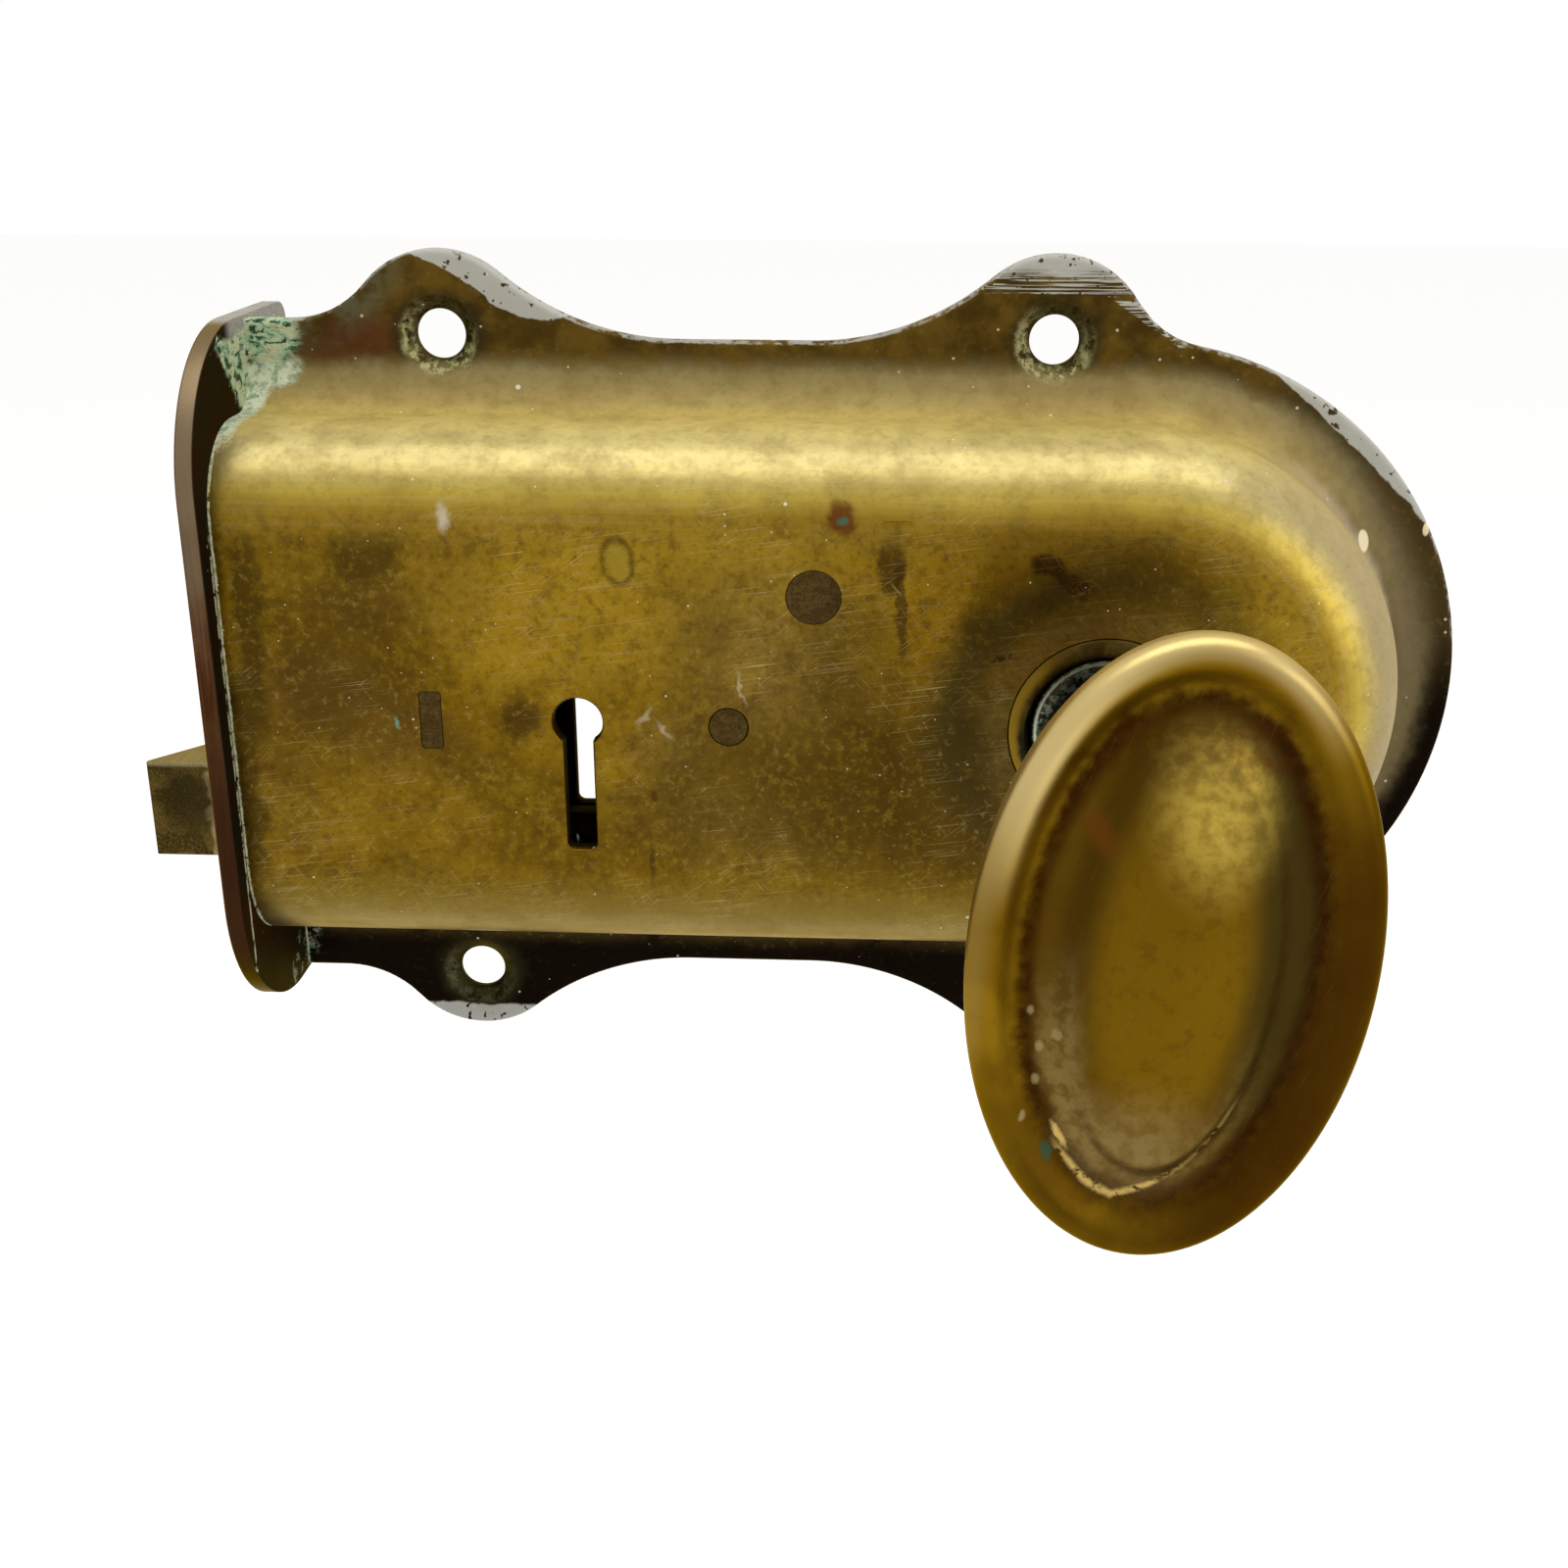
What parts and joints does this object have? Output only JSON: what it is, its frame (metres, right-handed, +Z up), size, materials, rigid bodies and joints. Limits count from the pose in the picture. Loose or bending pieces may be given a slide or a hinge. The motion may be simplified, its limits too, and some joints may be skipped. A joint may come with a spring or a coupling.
{
  "type": "rim lock with latch and dead bolt",
  "caption": "Brass rim lock with a round-ended case, a bevelled latch bolt worked by an oval knob, and a key-thrown dead bolt held by levers.",
  "frame": {"origin": "on the door's face, midway between the four case screws", "axes": "+X from the forend towards the round end, +Z up, +Y into the door, so the knob points along -Y"},
  "size_m": [0.1634, 0.1247, 0.1038],
  "materials": {
    "case": "aged brass with olive and brown patina, brushed along the shoulders",
    "forend": "dark red-brown aged brass with worn edges",
    "back_plate": "dull rolled brass",
    "bush": "aged brass, flush with the case",
    "stumps": "dark riveted stumps",
    "bolts": "yellow brass, dark mottled where it isn't rubbed",
    "follower": "grey-green worn metal with a bright edge",
    "spindle": "dark steel bar",
    "knob": "smooth golden-brown brass, dark in the groove",
    "levers": "stamped sheet brass",
    "springs": "dull spring steel",
    "screws": "slotted countersunk brass screws"
  },
  "bodies": {
    "lock_case": {"case": "case", "forend_plate": "forend", "forend_screws": "screws", "back_plate": "back_plate", "back_plate_screws": "screws", "cap_pillar": "stumps", "lever_pivot": "stumps", "bolt_fence": "stumps", "spring_stump": "stumps", "follower_stop": "stumps", "hub_bush": "bush", "latch_guide_pin": "stumps", "latch_spring_seat": "stumps", "latch_spring_rod": "springs", "latch_spring": "springs"},
    "knob_and_follower": {"follower": "follower", "spindle": "spindle", "knob_neck": "knob", "knob": "knob", "knob_grub_screw": "spindle"},
    "latch": {"latch_bolt": "bolts"},
    "thrown_bolt": {"dead_bolt": "bolts", "dead_bolt_stump": "bolts"},
    "first_lever": {"lever_1": "levers", "lever_spring_1": "springs"},
    "second_lever": {"lever_2": "levers", "lever_spring_2": "springs"},
    "third_lever": {"lever_3": "levers", "lever_spring_3": "springs"}
  },
  "joints": [
    {"name": "knob_turn", "type": "hinge", "parent": "lock_case", "child": "knob_and_follower", "pos_m": [0.0439, 0, 0], "axis": [0, -1, 0], "range_deg": [0, 32], "stiffness_Nm_per_rad": 0.11, "springref_deg": -35.92},
    {"name": "latch_slide", "type": "slide", "parent": "lock_case", "child": "latch", "axis": [1, 0, 0], "range_m": [0, 0.0107], "deforming": ["latch_spring"]},
    {"name": "dead_bolt_slide", "type": "slide", "parent": "lock_case", "child": "thrown_bolt", "axis": [-1, 0, 0], "range_m": [0, 0.01]},
    {"name": "first_lever_lift", "type": "hinge", "parent": "lock_case", "child": "first_lever", "pos_m": [0.00925, -0.0068, 0.0159], "axis": [0, 1, 0], "range_deg": [0, 4]},
    {"name": "second_lever_lift", "type": "hinge", "parent": "lock_case", "child": "second_lever", "pos_m": [0.00925, -0.0096, 0.0159], "axis": [0, 1, 0], "range_deg": [0, 4]},
    {"name": "third_lever_lift", "type": "hinge", "parent": "lock_case", "child": "third_lever", "pos_m": [0.00925, -0.0124, 0.0159], "axis": [0, 1, 0], "range_deg": [0, 4]}
  ],
  "couplings": [
    {"joint": "latch_slide", "follows": "knob_turn", "m_per_rad": 0.01915},
    {"joint": "first_lever_lift", "follows": "dead_bolt_slide", "rad_per_m": 6.98},
    {"joint": "second_lever_lift", "follows": "dead_bolt_slide", "rad_per_m": 6.98},
    {"joint": "third_lever_lift", "follows": "dead_bolt_slide", "rad_per_m": 6.98}
  ]
}
